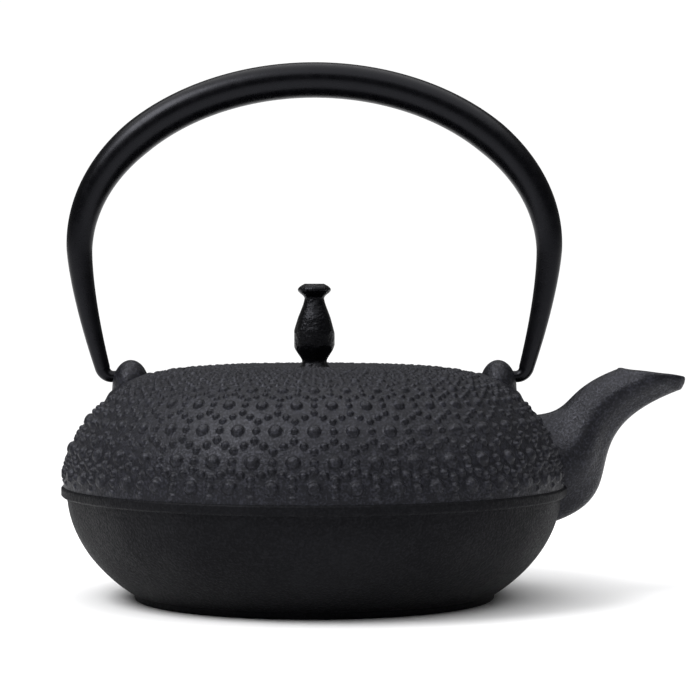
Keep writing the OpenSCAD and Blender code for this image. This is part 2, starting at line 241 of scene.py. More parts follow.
class Finish:
    """One material: a Principled shader, its constants, and the nodes that feed it."""

    def __init__(self, name, **constants):
        self.material = bpy.data.materials.new(name)
        self.material.use_nodes = True
        self.tree = self.material.node_tree
        self.tree.nodes.clear()
        self.shader = self.tree.nodes.new("ShaderNodeBsdfPrincipled")
        out = self.tree.nodes.new("ShaderNodeOutputMaterial")
        self.tree.links.new(self.shader.outputs[0], out.inputs["Surface"])
        for key, value in constants.items():
            self.shader.inputs[key.replace("_", " ")].default_value = value

    def node(self, kind, settings, *values, output=0, at=None, **named):
        """Adds a node, sets it, feeds its sockets in order, by number or by name, and gives an output."""
        n = self.tree.nodes.new(kind)
        for key, value in settings.items():
            setattr(n, key, value)
        sockets = dict(enumerate(values))
        sockets.update(at or {})
        sockets.update({key.replace("_", " "): value for key, value in named.items()})
        for key, value in sockets.items():
            if isinstance(value, Value):
                self.tree.links.new(value.socket, n.inputs[key])
            else:
                n.inputs[key].default_value = value
        return Value(self, n.outputs[output])

    def place(self, stretch=(1.0, 1.0, 1.0)):
        """Object coordinates, stretched along the axes."""
        where = self.node("ShaderNodeTexCoord", {}, output="Object")
        return self.node("ShaderNodeMapping", {}, where, Scale=stretch)

    def noise(self, size, detail=2.0, roughness=0.5, stretch=(1.0, 1.0, 1.0)):
        """Cloudy values from 0 to 1 with features of about the given size in metres."""
        return self.node("ShaderNodeTexNoise", {"noise_dimensions": "3D"}, Vector=self.place(stretch),
                         Scale=1 / size, Detail=detail, Roughness=roughness)

    def cells(self, size):
        """Distance to the nearest of many scattered points, about size apart."""
        return self.node("ShaderNodeTexVoronoi", {"feature": "F1"}, Vector=self.place(), Scale=1 / size)

    def band(self, value, low, high, to_low=0.0, to_high=1.0):
        """Maps low..high to to_low..to_high smoothly, held at both ends."""
        return self.node("ShaderNodeMapRange", {"interpolation_type": "SMOOTHSTEP"},
                         value, low, high, to_low, to_high)

    def tint(self, share, colour_a, colour_b):
        """A colour between two colours."""
        colours = {6: (*colour_a, 1), 7: (*colour_b, 1)}
        return self.node("ShaderNodeMix", {"data_type": "RGBA"}, share, at=colours, output=2)

    def bump(self, height, depth):
        """Tilts the surface by the slope of height, whose full range stands depth metres tall."""
        return self.node("ShaderNodeBump", {}, Strength=1.0, Distance=depth, Height=height)

    def feed(self, **sockets):
        """Links values to the shader's sockets of the same names."""
        for key, value in sockets.items():
            self.tree.links.new(value.socket, self.shader.inputs[key.replace("_", " ")])


COOL = (0.88, 0.89, 1.0, 1.0)


def cast_iron(name, dark, light, rough, grain, depth, gloss, pits=0.0):
    """Sand-cast iron under a thin black finish: sharp grain whose raised tips are painted paler as glints,
    slow patches of paler and darker tone and, where pits is over 0, scattered pits."""
    f = Finish(name, Specular_IOR_Level=gloss, Specular_Tint=COOL)
    fine = f.noise(grain, detail=2.0, roughness=0.6)
    coarse = f.noise(grain * 3.2, detail=2.0)
    patch = f.noise(22 * MM, detail=2.0)
    # where the grain stands high its colour is painted paler: painted glints on the grain's tips
    glint_tips = f.band(fine * 0.75 + coarse * 0.25, 0.47, 0.62)
    height = fine * 0.65 + coarse * 0.35
    if pits:
        height = height - f.band(f.cells(grain * 4), 0.0, 0.3, pits, 0.0)
    f.feed(Base_Color=f.tint(glint_tips * 0.8 + patch * 0.2, dark, light),
           Roughness=f.band(fine * 0.6 + patch * 0.4, 0.35, 0.65, rough + 0.10, rough - 0.10),
           Normal=f.bump(height, depth))
    return f.material


def satin_black(name, colour, rough):
    """Smooth baked black: nearly even, with faint long mottling."""
    f = Finish(name, Specular_IOR_Level=0.17, Specular_Tint=COOL)
    soft = f.noise(3.5 * MM, detail=3.0)
    fine = f.noise(0.5 * MM, detail=2.0)
    f.feed(Base_Color=f.tint(soft, colour, tuple(1.35 * c for c in colour)),
           Roughness=f.band(soft * 0.6 + fine * 0.4, 0.3, 0.7, rough - 0.05, rough + 0.06),
           Normal=f.bump(soft * 0.7 + fine * 0.3, 0.05 * MM))
    return f.material


def stainless(name, colour, rough, brushed):
    """Thin stainless sheet, drawn and polished along its turning direction."""
    f = Finish(name, Metallic=1.0)
    lines = f.noise(0.35 * MM, detail=3.0, stretch=brushed)
    cloud = f.noise(9 * MM, detail=2.0)
    f.feed(Base_Color=f.tint(cloud, colour, tuple(0.86 * c for c in colour)),
           Roughness=f.band(lines * 0.7 + cloud * 0.3, 0.3, 0.7, rough - 0.07, rough + 0.08),
           Normal=f.bump(lines, 0.012 * MM))
    return f.material


iron_upper = cast_iron("cast_iron_upper", (0.0008, 0.0008, 0.0013), (0.017, 0.0174, 0.0232), 0.50,
                       0.80 * MM, 0.32 * MM, 0.25)
# the bowl's iron: really rougher, duller and pitted, and its colours set darker than the upper iron's as
# painted shade on the down-facing bowl
bowl_iron_shaded = cast_iron("cast_iron_lower", (0.0008, 0.0008, 0.0010), (0.0036, 0.0037, 0.0044), 0.62,
                       0.80 * MM, 0.42 * MM, 0.12, pits=0.15)
iron_spout = cast_iron("cast_iron_spout", (0.0006, 0.0006, 0.0010), (0.017, 0.0174, 0.0232), 0.42,
                       0.85 * MM, 0.42 * MM, 0.24, pits=0.1)
iron_knob = cast_iron("cast_iron_knob", (0.0003, 0.0003, 0.0004), (0.002, 0.002, 0.0026), 0.28,
                      1.0 * MM, 0.50 * MM, 0.14)
iron_inside = cast_iron("enamelled_inside", (0.010, 0.010, 0.011), (0.015, 0.015, 0.016), 0.34,
                        1.1 * MM, 0.05 * MM, 0.5)
bail_black = satin_black("satin_black_bail", (0.0003, 0.0003, 0.0006), 0.29)
steel_sheet = stainless("stainless_sheet", (0.62, 0.62, 0.61), 0.27, (0.05, 0.05, 1.0))
steel_mesh = stainless("stainless_mesh", (0.55, 0.55, 0.54), 0.33, (1.0, 1.0, 1.0))
washer_grey = stainless("washer_steel", (0.46, 0.46, 0.45), 0.38, (1.0, 1.0, 1.0))


# ---------------------------------------------------------------- pot outline

def upper_line(inset, count=400):
    """The upper half from the axis to the flange: a crown curve and a side curve, with one slope where they
    meet at the shoulder."""
    t = np.linspace(0, 1, count)
    s = shoulder - inset * slope_out
    top, side = np.array([0, crown_z - inset]), np.array([belly_r - inset, belly_z])
    crown = cubic(top, (0.733 * shoulder[0], top[1]), s - 13.1 * MM * slope_way, s, t)
    flank = cubic(s, s + 9.1 * MM * slope_way, side + (0, side_pull), side, t)
    return np.concatenate([crown, flank[1:]])


def bowl_r(z, inset):
    """Radius of the bowl: one less a power of the depth, to the power of a third."""
    depth = np.clip((bowl_top_z - z) / (bowl_h - inset), 0, 1)
    return (belly_r - 1.2 * MM - inset) * (1 - depth ** 1.8) ** (1 / 3)


def bowl_line(low, inset, count=120):
    """The bowl from under the flange down to the height low, with more points near the bottom."""
    z = bowl_top_z + (low - bowl_top_z) * np.sin(np.linspace(0, math.pi / 2, count))
    return np.stack([bowl_r(z, inset), z], axis=1)


crown_line = upper_line(0)


def crown_height(r):
    """Height of the upper half's outside at a distance from the axis."""
    return np.interp(r, crown_line[:, 0], crown_line[:, 1])


ledge_z = float(crown_height(seat_r)) - 4.3 * MM
dish_low_z = float(crown_height(DISH_R)) - DISH_DEEP


def lid_height(r):
    """The same with the shallow dish in the middle of the lid, whose depth fades with the square of r."""
    return np.where(r < DISH_R, dish_low_z + DISH_DEEP * (r / DISH_R) ** 2, crown_height(r))


LUG_R, LUG_HALF, LUG_X = 9 * MM, 6.3 * MM, seat_r + 17.6 * MM
lug_z = pivot_z - 3.3 * MM
HOLE_R = 2.08 * MM


# ---------------------------------------------------------------- hobnails

STUDS_ROUND = 40
STUD_TURN = 0.012
ROW_RADII = np.array([63.5, 70.1, 77.2, 82.7, 85.1]) * MM
ROW_OF_FIRST = -2
ROW_STEP = math.sqrt(3) / 2
UPPER_STEP = 0.83
SMOOTH_R = 23.5 * MM
BIG_R, BIG_H = 0.175, 0.120
SMALL_R, SMALL_H = 0.1, 0.092
LUG_CLEAR_X, LUG_CLEAR_Y = 10.5 * MM, 12 * MM
SPOUT_CLEAR_Y, SPOUT_CLEAR_Z, SPOUT_Z = 16.5 * MM, 23 * MM, 46 * MM
FILLET = 1.1 * MM


def stud_rows(line):
    """Row number along the outline, and the length of one row step in local pitches. Five rows lie at set
    radii. Above them the rows follow each other at a fixed share of the local pitch, so they shrink with the
    radius."""
    step = np.linalg.norm(np.diff(line, axis=0), axis=1)
    middle = np.maximum((line[1:, 0] + line[:-1, 0]) / 2, 1 * MM)
    walked = np.r_[0, np.cumsum(step / middle)] * STUDS_ROUND / TURN
    set_rows = np.interp(ROW_RADII, line[:, 0], walked)
    number = np.interp(walked, set_rows, ROW_OF_FIRST + np.arange(len(ROW_RADII)))
    above, below = np.minimum(walked - set_rows[0], 0), np.maximum(walked - set_rows[-1], 0)
    number = (number + (above + below) / UPPER_STEP) * ROW_STEP
    return number, np.gradient(walked) / np.maximum(np.gradient(number), 1e-9)


crown_rows, crown_steps = stud_rows(crown_line)


def hobnails(angle, r, row, stretch):
    """Height of the relief. In a plane of triangles one pitch apart each corner has a large button, and each
    six-sided field round it has a small button on its corners and at the middle of its sides. Radii and
    heights of the buttons are shares of the pitch."""
    x, y = (angle - STUD_TURN) * STUDS_ROUND / TURN, row
    high = 2 * ROW_STEP
    best, bx, by = None, None, None
    for shift in (0.0, 0.5):
        dx = x - shift - np.round(x - shift)
        dy = y - shift * high - high * np.round(y / high - shift)
        d = dx * dx + dy * dy
        if best is None:
            best, bx, by = d, dx, dy
        else:
            near = d < best
            best, bx, by = np.where(near, d, best), np.where(near, dx, bx), np.where(near, dy, by)
    pitch = TURN * r / STUDS_ROUND
    large = np.clip(1 - ((bx ** 2 + (by * stretch) ** 2) / BIG_R ** 2) ** 1.3, 0, 1) ** 0.6
    small = np.zeros_like(large)
    for k in range(12):
        reach = 0.5 if k % 2 == 0 else 1 / math.sqrt(3)
        g = k * TURN / 12
        d = (bx - reach * math.cos(g)) ** 2 + ((by - reach * math.sin(g)) * stretch) ** 2
        small = np.maximum(small, np.clip(1 - d / SMALL_R ** 2, 0, 1) ** 0.65)
    return pitch * np.maximum(BIG_H * large, SMALL_H * small)


def relief(angle, line, rows, steps):
    """Hobnails over an outline, fading out at the flange, at the smooth middle of the lid, round the spout
    and round the lugs, where a small fillet rises instead."""
    r = line[:, 0][:, None] + 0 * angle
    z = line[:, 1][:, None] + 0 * angle
    h = hobnails(angle[None, :] + 0 * r, r, rows[:, None] + 0 * r, steps[:, None])
    h = h * ease((z - belly_z - 2.2 * MM) / (2.5 * MM))
    h = h * ease((r - SMOOTH_R) / (1.5 * MM))
    x, y = r * np.cos(angle), r * np.sin(angle)
    lug = np.hypot((np.abs(x) - LUG_X - 0.5 * MM) / LUG_CLEAR_X, y / LUG_CLEAR_Y)
    spout = np.hypot(y / SPOUT_CLEAR_Y, (z - SPOUT_Z) / SPOUT_CLEAR_Z) + 9 * (x < 0)
    foot = np.hypot((np.abs(x) - LUG_X) / LUG_HALF, y / LUG_R)
    fillet = FILLET * ease((1.5 - foot) / 0.5)
    return h * ease((lug - 0.85) / 0.3) * ease((spout - 0.9) / 0.12) + fillet


def waver(x, y, z, size, height):
    """Slow unevenness of a casting: three crossed waves of about the given length."""
    k = TURN / size
    return height / 3 * (np.sin(k * x + 1.3 * np.sin(0.6 * k * z)) + np.sin(k * (0.8 * y - 0.5 * x) + 1.1)
                         + np.sin(k * (0.7 * z + 0.6 * y) + 2.3))


def skin_of(line, rows, steps, columns):
    """The outside of the upper half: the outline spun, then moved along its normal by the relief. Nothing
    stands out past the flange."""
    angle = np.arange(columns) * TURN / columns
    grid = spin(line, columns)
    normal = grid_normals(grid)
    h = relief(angle, line, rows, steps)
    uneven = waver(grid[..., 0], grid[..., 1], grid[..., 2], 31 * MM, 0.10 * MM)
    h = h + uneven * (line[:, 0] < flange_r - 2.5 * MM)[:, None]
    skin = grid + normal * h[..., None]
    reach = (flange_r - 0.05 * MM) / np.maximum(np.hypot(skin[..., 0], skin[..., 1]), MM)
    skin[..., :2] *= np.minimum(1, reach)[..., None]
    return skin


# ---------------------------------------------------------------- spout

tip = np.array([pot_high.x, crown_z - 6.1 * MM])
lip = tip + np.array([-23.5, 4.6]) * MM
root_top = shoulder + np.array([0.9, -4.7]) * MM
root_low = np.array([belly_r - 7.7 * MM, belly_z - 12.6 * MM])
LIP_ROUND = 0.9 * MM
TIP_ROUND = 4.1 * MM
outer_lip = lip + np.array([-0.3, 0.0]) * MM
outer_tip = tip + np.array([-1.9, -2.4]) * MM
upper_edge = [root_top, root_top + np.array([17.6, 0.6]) * MM,
              outer_lip - np.array([20.9, 7.9]) * MM, outer_lip]
lower_edge = [root_low, root_low + np.array([37.4, 10.2]) * MM,
              outer_tip - np.array([43.2, 16.0]) * MM, outer_tip]
SPOUT_WALL = 2.4 * MM
ROOT_HALF_W, MOUTH_HALF_W = 13 * MM, 8 * MM
SPOUT_RIDGE = 0.13
CUT_MARGIN = 1.3 * MM


def way(line, t):
    """Unit direction of a curve, by a small difference."""
    d = cubic(*line, np.clip(t + 1e-3, 0, 1)) - cubic(*line, np.clip(t - 1e-3, 0, 1))
    return d / np.linalg.norm(d, axis=-1, keepdims=True)


def spout_points(t, g, inset):
    """Points of the spout at t along it and g round it: ovals strung between an upper and a lower edge
    curve. The half-width is the root's at t = 0 and the mouth's at t = 1, and the sides come to a soft
    ridge. inset moves the points in from both edges, square to each edge, for the bore."""
    t, g = np.broadcast_arrays(t, g)
    up, low = cubic(*upper_edge, t), cubic(*lower_edge, t)
    u = (up - low) / np.linalg.norm(up - low, axis=-1, keepdims=True)

    def slant(line):
        along_it = way(line, t)
        return np.maximum(0.5, np.abs(u[..., 0] * along_it[..., 1] - u[..., 1] * along_it[..., 0]))

    a = up - u * (inset / slant(upper_edge))[..., None]
    b = low + u * (inset / slant(lower_edge))[..., None]
    share = (1 - np.cos(math.pi * np.minimum(1, 1.15 * t))) / 2
    half_w = ROOT_HALF_W + (MOUTH_HALF_W - ROOT_HALF_W) * share - inset
    ridge = 1 - SPOUT_RIDGE * np.sin(2 * g) ** 2
    middle, half = (a + b) / 2, (a - b) / 2
    c = middle + half * (np.cos(g) * ridge)[..., None]
    return np.stack([c[..., 0], half_w * np.sin(g) * ridge, c[..., 1]], axis=-1)


def pot_gap(p, inset):
    """How far a point is outside the pot's round wall, measured along the radius at its height."""
    r, z = np.hypot(p[..., 0], p[..., 1]), p[..., 2]
    up = upper_line(inset)
    wall_r = np.where(z > belly_z, np.interp(-z, -up[:, 1], up[:, 0]), bowl_r(z, inset))
    return r - wall_r


def spout_start(g, inset, pot_inset):
    """The place along the spout where each line of its skin leaves the pot's wall, found by halving."""
    low, high = np.zeros_like(g), np.full_like(g, 0.85)
    for _ in range(30):
        middle = (low + high) / 2
        outside = pot_gap(spout_points(middle, g, inset), pot_inset) > 0
        low, high = np.where(outside, low, middle), np.where(outside, middle, high)
    return (low + high) / 2


def spout_grid(inset, pot_inset, rows, columns):
    """The spout's skin from the pot's wall to the mouth."""
    g = np.arange(columns) * TURN / columns
    start = spout_start(g, inset, pot_inset)
    share = np.linspace(0, 1, rows)[:, None] ** 1.1
    return spout_points(start + (1 - start) * share, g + 0 * share, inset)


def in_spout(p, margin):
    """Whether points of the pot's wall lie inside the spout's bore, grown by a margin."""
    t = np.linspace(0.0, 0.45, 60)
    up, low = cubic(*upper_edge, t), cubic(*lower_edge, t)
    x = p[..., 0]
    top = np.interp(x, up[:, 0], up[:, 1]) - SPOUT_WALL + margin
    bottom = np.interp(x, low[:, 0], low[:, 1]) + SPOUT_WALL - margin
    middle, half = (top + bottom) / 2, (top - bottom) / 2
    w = ROOT_HALF_W - 2.6 * MM + margin
    return (x > 0) & (((p[..., 2] - middle) / half) ** 2 + (p[..., 1] / w) ** 2 < 1)


# ---------------------------------------------------------------- pieces of the pot

def cells_of(grid):
    """Middle of each cell of a grid that closes round."""
    right = np.roll(grid, -1, axis=1)
    return (grid[:-1] + right[:-1] + grid[1:] + right[1:]) / 4


def make_upper():
    """Two halves, front and back, of the studded upper half from the lid's step to the flange."""
    columns, rows = 1320, 146
    part = crown_line[:, 0] >= seat_r
    start_z = float(crown_height(seat_r))
    line = np.concatenate([[[seat_r, start_z]], crown_line[part]])
    line = along(line, rows)
    near = np.interp(line[:, 0], crown_line[:, 0], np.arange(len(crown_line)))
    number, step = (np.interp(near, np.arange(len(crown_line)), v) for v in (crown_rows, crown_steps))
    grid = skin_of(line, number, step, columns)
    normals = grid_normals(grid)
    keep = ~in_spout(cells_of(grid), CUT_MARGIN)
    half = columns // 2
    for name, take in (("pot_upper_back", slice(0, half)), ("pot_upper_front", slice(half, columns))):
        mask = np.zeros_like(keep)
        mask[:, take] = keep[:, take]
        place(sheet_piece(name, grid, iron_upper, keep=mask, normals=normals),
              "pot", "cast_iron_body", "body")


FLANGE_HALF = 1.7 * MM
CUT_HIGH, CUT_LOW = 0.55 * MM, 0.5 * MM
FOOT_WIDE = 6 * MM


def make_bowl():
    """The flange, the plain bowl, the foot ring and the underside, as one outline spun about Z."""
    low, high = belly_z - FLANGE_HALF, belly_z + FLANGE_HALF
    foot_out = bowl_r(foot_h, 0) - 1.3 * MM
    foot_in = foot_out - FOOT_WIDE
    flange = rounded([(belly_r - 1.2 * MM, high), (flange_r - CUT_HIGH, high), (flange_r, high - CUT_HIGH),
                      (flange_r, low + CUT_LOW), (flange_r - CUT_LOW, low),
                      (belly_r - 1.1 * MM, low - 0.1 * MM), (belly_r - 1.25 * MM, low - 1.5 * MM)],
                     0.18 * MM, 4)
    bowl = bowl_line(foot_h + 0.01 * MM, 0)
    bowl = bowl[bowl[:, 1] < low - 1.6 * MM]
    under_z = foot_h + 0.2 * MM
    foot = rounded([(bowl[-1][0], foot_h), (foot_out + 0.3 * MM, foot_h), (foot_out, 0), (foot_in, 0),
                    (foot_in - 0.4 * MM, foot_h), (0.5 * MM, under_z), (0, under_z)], 0.5 * MM, 5)
    line = np.concatenate([stretches(flange, 0.6 * MM), along(bowl, 80), stretches(foot, 3 * MM)[1:]])
    grid = spin(line, 480)
    uneven = waver(grid[..., 0], grid[..., 1], grid[..., 2], 23 * MM, 0.12 * MM)
    inwards = -np.abs(uneven) * (line[:, 1] > foot_h + 1 * MM)[:, None]
    grid[..., :2] *= (1 + inwards / np.maximum(np.hypot(grid[..., 0], grid[..., 1]), MM))[..., None]
    keep = ~in_spout(cells_of(grid), CUT_MARGIN)
    # the bowl takes the darker iron, whose colour is painted shade
    place(sheet_piece("pot_bowl", grid, bowl_iron_shaded, keep=keep),
          "pot", "cast_iron_body", "body")


def make_inside():
    """The step for the lid, the ledge, the mouth and the hollow inside, down to the middle of the floor."""
    inner = upper_line(wall)
    neck_z = float(np.interp(neck_r, inner[:, 0], inner[:, 1]))
    under = ledge_z - 3.4 * MM
    mouth = rounded([(seat_r, float(crown_height(seat_r))), (seat_r, ledge_z), (mouth_r, ledge_z),
                     (mouth_r, under), (neck_r, under), (neck_r, neck_z)], 0.5 * MM, 5)
    hollow = inner[inner[:, 0] > neck_r]
    turn_z = floor_z + 6 * MM
    turn_r = bowl_r(turn_z, wall)
    bowl = bowl_line(turn_z, wall)
    floor = cubic(bowl[-1], (turn_r - 5.5 * MM, floor_z + 1 * MM), (turn_r - 12 * MM, floor_z), (0, floor_z),
                  np.linspace(0, 1, 30)[1:])
    line = np.concatenate([stretches(mouth, 1 * MM), along(hollow, 60), along(bowl, 50), floor])
    grid = spin(line, 400)
    keep = ~in_spout(cells_of(grid), 0.2 * MM)
    place(sheet_piece("pot_inside", grid, iron_inside, keep=keep, flip=True),
          "pot", "cast_iron_body", "body")


def make_spout():
    """The spout's outside, its slanting mouth and its bore as one skin. The mouth's bead is half an oval
    from the outside to the bore, and grows from the lip to the tip."""
    columns = 120
    outer = spout_grid(0, 0.5 * MM, 90, columns)
    bore = spout_grid(SPOUT_WALL, wall, 70, columns)[::-1]
    s = (1 - np.cos(np.linspace(0, math.pi, 15)[1:-1, None, None])) / 2
    towards_tip = (1 - np.cos(np.arange(columns) * TURN / columns)) / 2
    bead = (LIP_ROUND + (TIP_ROUND - LIP_ROUND) * towards_tip)[:, None]
    across = outer_lip - outer_tip
    rise = np.array([across[1], 0, -across[0]]) / np.linalg.norm(across)
    lean = rise + towards_tip[:, None] * (0.35, 0, 0)
    mouth = outer[-1] + (bore[0] - outer[-1]) * s + bead * 2 * np.sqrt(s * (1 - s)) * lean
    grid = np.concatenate([outer, mouth, bore])
    place(sheet_piece("pot_spout", grid, iron_spout), "pot", "cast_iron_body", "body")


def make_lug(name, side):
    """An ear round the pivot: for each direction round the hole, the half ellipse of the ear's rounded body
    is followed from the hole's outer edge over the top to its inner edge, and back through the hole."""
    columns, rows = 96, 60
    a = np.arange(columns) * TURN / columns
    dy, dz = np.sin(a), np.cos(a)
    rise = pivot_z - lug_z
    reach = -dz * rise + np.sqrt((dz * rise) ** 2 - rise ** 2 + LUG_R ** 2)
    s = np.linspace(0, math.pi, rows)[:, None]
    d = HOLE_R + (reach - HOLE_R) * np.sin(s)
    over = d * dz + rise
    q = ((d * dy) ** 2 + np.maximum(over, 0) ** 2) / LUG_R ** 2
    x = LUG_HALF * np.sqrt(np.clip(1 - q, 0, 1)) * np.sign(np.cos(s) + 1e-12)
    x = x * (1 - 12 * np.minimum(over, 0))
    skin = np.stack([x, d * dy, d * dz + 0 * x], axis=-1)
    buried = crown_height(np.hypot(LUG_X + x, d * dy)) - 1.4 * MM - pivot_z
    skin[..., 2] = np.maximum(skin[..., 2], np.where(d > HOLE_R + 1 * MM, buried, -1))
    t = np.linspace(0, 1, 8)[1:-1, None, None]
    back = skin[-1] + (skin[0] - skin[-1]) * t
    grid = np.concatenate([skin, back])
    grid = grid * (side, 1, 1) + (side * LUG_X, 0, pivot_z)
    place(sheet_piece(name, grid, iron_spout, wrap_rows=True, flip=side > 0),
          "pot", "cast_iron_body", "body")


LID_EDGE_R = lid_r - 0.35 * MM
SKIRT_T, PLATE_T = 2.4 * MM, 3 * MM


def make_lid():
    """The lid in two pieces that meet at the edge: the studded top, spun with its relief, and the rim, skirt
    and underside, one plain outline spun about Z."""
    columns, under_columns = 880, 220
    skirt = float(mesh_high.x) - 1.4 * MM
    inner = skirt - SKIRT_T
    plate = float(crown_height(skirt)) - PLATE_T
    rim_z = ledge_z + 0.95 * MM
    edge_z = float(crown_height(LID_EDGE_R))
    r_at = np.concatenate([np.linspace(0.2 * MM, SMOOTH_R, 14)[:-1], np.linspace(SMOOTH_R, LID_EDGE_R, 72)])
    top = np.stack([r_at, lid_height(r_at)], axis=1)
    number, step = (np.interp(r_at, crown_line[:, 0], v) for v in (crown_rows, crown_steps))
    studded = skin_of(top, number, step, columns)
    low = rounded([(LID_EDGE_R, edge_z), (lid_r, float(crown_height(lid_r)) - 0.3 * MM), (lid_r, rim_z),
                   (skirt, rim_z), (skirt, float(lid_low.z)), (inner, float(lid_low.z)), (inner, plate),
                   (0.2 * MM, plate)], 0.4 * MM, 4)
    edge = spin([(LID_EDGE_R, edge_z - 0.1 * MM)], under_columns)
    under = spin(stretches(low, 2 * MM)[1:], under_columns)
    middle = np.zeros((1, columns, 3)) + (0, 0, dish_low_z)
    end = np.zeros((1, under_columns, 3)) + (0, 0, plate)
    place(sheet_piece("lid_top", np.concatenate([middle, studded]), iron_upper),
          "lid", "cast_iron_lid", "lid")
    place(sheet_piece("lid_under", np.concatenate([edge, under, end]), iron_upper),
          "lid", "cast_iron_lid", "lid")


TANG_R, RIVET_R, RIVET_H = 1.95 * MM, 3.55 * MM, 1.5 * MM


def make_knob():
    """The bud-shaped knob: radius in millimetres from a smooth line through a few stations of the height,
    times a soft facet wave that is strongest at the bulb and turns to petals at the base. Its tang and
    peened end close it below."""
    base_z = dish_low_z + 0.05 * MM
    height = knob_high.z - base_z
    base = [(0.0, 5.0), (0.04, 4.3), (0.08, 3.88), (0.11, 4.0)]
    bulb = [(0.22, 6.0), (0.28, 6.6), (0.34, 6.88), (0.43, 6.5), (0.595, 5.27), (0.76, 3.45)]
    neck = [(0.83, 2.93), (0.86, 3.4)]
    cap = [(0.895, 4.7), (0.925, 5.25), (0.955, 4.9), (0.985, 3.9), (1.0, 2.7)]
    share, radius = np.array(base + bulb + neck + cap).T
    z = np.linspace(0, 1, 150)
    # a smooth line: the stations joined, then averaged over a short window
    places = np.linspace(-0.05, 1.05, 1101)
    window = np.hanning(61)
    joined = np.pad(np.interp(places, share, radius * MM), 30, mode="edge")
    r = np.interp(z, places, np.convolve(joined, window / window.sum(), mode="valid"))[:, None]
    columns = 160
    a = np.arange(columns) * TURN / columns
    facet = 0.055 * np.exp(-((z - 0.40) / 0.22) ** 2)[:, None] * np.abs(np.cos(3.5 * a + 0.3)) ** 0.7
    petal = 0.14 * np.exp(-(z / 0.07) ** 2)[:, None] * (np.abs(np.cos(2.5 * (a - 0.15))) - 0.6)
    crook = waver(np.cos(a) * 5 * MM, np.sin(a) * 5 * MM, z[:, None] * height, 9 * MM, 0.18 * MM)
    r = np.minimum(r * (1.10 - facet) * (1 + petal) + crook * 0.6, knob_high.x - 0.05 * MM)
    zz = base_z + height * z[:, None] + 0 * a
    body = np.stack([r * np.cos(a), r * np.sin(a), zz], axis=-1)
    low = knob_low.z
    t = np.linspace(0, math.pi / 2, 8)
    rivet = np.stack([RIVET_R * np.cos(t), low + RIVET_H - RIVET_H * np.sin(t)], axis=1)[:-1]
    stem = spin(np.concatenate([[(TANG_R, base_z), (TANG_R, low + RIVET_H)], rivet]), columns)
    bottom = np.zeros((1, columns, 3)) + (0, 0, low)
    top = np.zeros((1, columns, 3)) + (0, 0, knob_high.z)
    grid = np.concatenate([bottom, stem[::-1], body, top])
    place(sheet_piece("knob_bud", grid, iron_knob, flip=True),
          "knob", "cast_iron_knob", "lid_knob")


BAIL_IN, WAIST_UP, ARC_UP = 5.2 * MM, 43.7 * MM, 57.8 * MM
GRIP_D, LEG_D, PIN_D, PIN_LONG = 12.2 * MM, 5.0 * MM, 4.0 * MM, 9.4 * MM
TAPER_UP, BEND_R, LEG_BOW = 81.7 * MM, 3.6 * MM, 1.5


def make_bail():
    """The bail: a round bar swept along an elliptic arch, two leaning legs and two elbows. It tapers evenly
    with height from the grip to the elbows, and ends in pins."""
    half = belly_r - BAIL_IN
    waist = pivot_z + WAIST_UP
    pin_x = LUG_X + LUG_HALF * math.sqrt(1 - ((pivot_z - lug_z) / LUG_R) ** 2) + 0.3 * MM
    lean = math.atan(LEG_BOW * (half - pin_x - BEND_R) / WAIST_UP)
    elbow_z, elbow_x = pivot_z + BEND_R * (1 - math.sin(lean)), pin_x + BEND_R * math.cos(lean)
    g = np.linspace(0, math.pi / 2, 110)[:-1]
    arch = np.stack([half * np.sin(g), waist + ARC_UP * np.cos(g)], axis=1)
    h = np.linspace(0, 1, 60)[:-1]
    leg = np.stack([half + (elbow_x - half) * h ** LEG_BOW, waist + (elbow_z - waist) * h], axis=1)
    bends, pins = 16, 7
    e = np.linspace(lean, math.pi / 2, bends)
    elbow = np.stack([pin_x + BEND_R * np.cos(e), pivot_z + BEND_R * (1 - np.sin(e))], axis=1)
    line = np.concatenate([arch, leg, elbow])
    size = LEG_D + (GRIP_D - LEG_D) * np.clip((line[:, 1] - pivot_z) / TAPER_UP, 0, 1)
    turn = np.clip((np.arange(len(line)) - (len(line) - bends)) / (bends - 1), 0, 1)
    size = size + (PIN_D - size) * turn
    pin = np.stack([np.linspace(pin_x, pin_x - PIN_LONG, pins + 1)[1:], np.full(pins, pivot_z)], axis=1)
    line = np.concatenate([line, pin])
    size = np.concatenate([size, np.full(pins, PIN_D)])
    size[-1] *= 0.8
    line = np.concatenate([line[:0:-1] * (-1, 1), line])
    size = np.concatenate([size[:0:-1], size])
    way_of = np.gradient(line, axis=0)
    way_of /= np.linalg.norm(way_of, axis=1, keepdims=True)
    columns = 40
    a = np.arange(columns) * TURN / columns
    r = (size / 2 - 0.02 * MM)[:, None]
    x = line[:, :1] - way_of[:, 1:] * r * np.cos(a)
    z = line[:, 1:] + way_of[:, :1] * r * np.cos(a)
    ring = np.stack([x, r * np.sin(a), z], axis=-1)
    ends = [np.zeros((1, columns, 3)) + (line[k][0], 0, line[k][1]) for k in (0, -1)]
    grid = np.concatenate([ends[0], ring, ends[1]])
    place(sheet_piece("bail_bar", grid, bail_black), "bail", "bail_iron", "bail_handle")


# ---------------------------------------------------------------- strainer

def make_rim():
    """The strainer's rim: a flat flange with a rolled edge and a collar, one outline spun about Z."""
    out, top, low = rim_high.x, rim_high.z, rim_low.z
    collar = out - 4.2 * MM
    t = 0.8 * MM
    line = rounded([(collar - t, low), (collar - t, top - 0.3 * MM), (collar - t + 0.5 * MM, top),
                    (out - 0.4 * MM, top), (out, top - t / 2), (out - 0.3 * MM, top - t), (collar, top - t),
                    (collar, low), (collar - t, low)], 0.35 * MM, 5)
    grid = spin(stretches(line, 0.8 * MM), 240)
    place(sheet_piece("strainer_flange", grid, steel_sheet),
          "strainer", "strainer_steel", "strainer_rim")


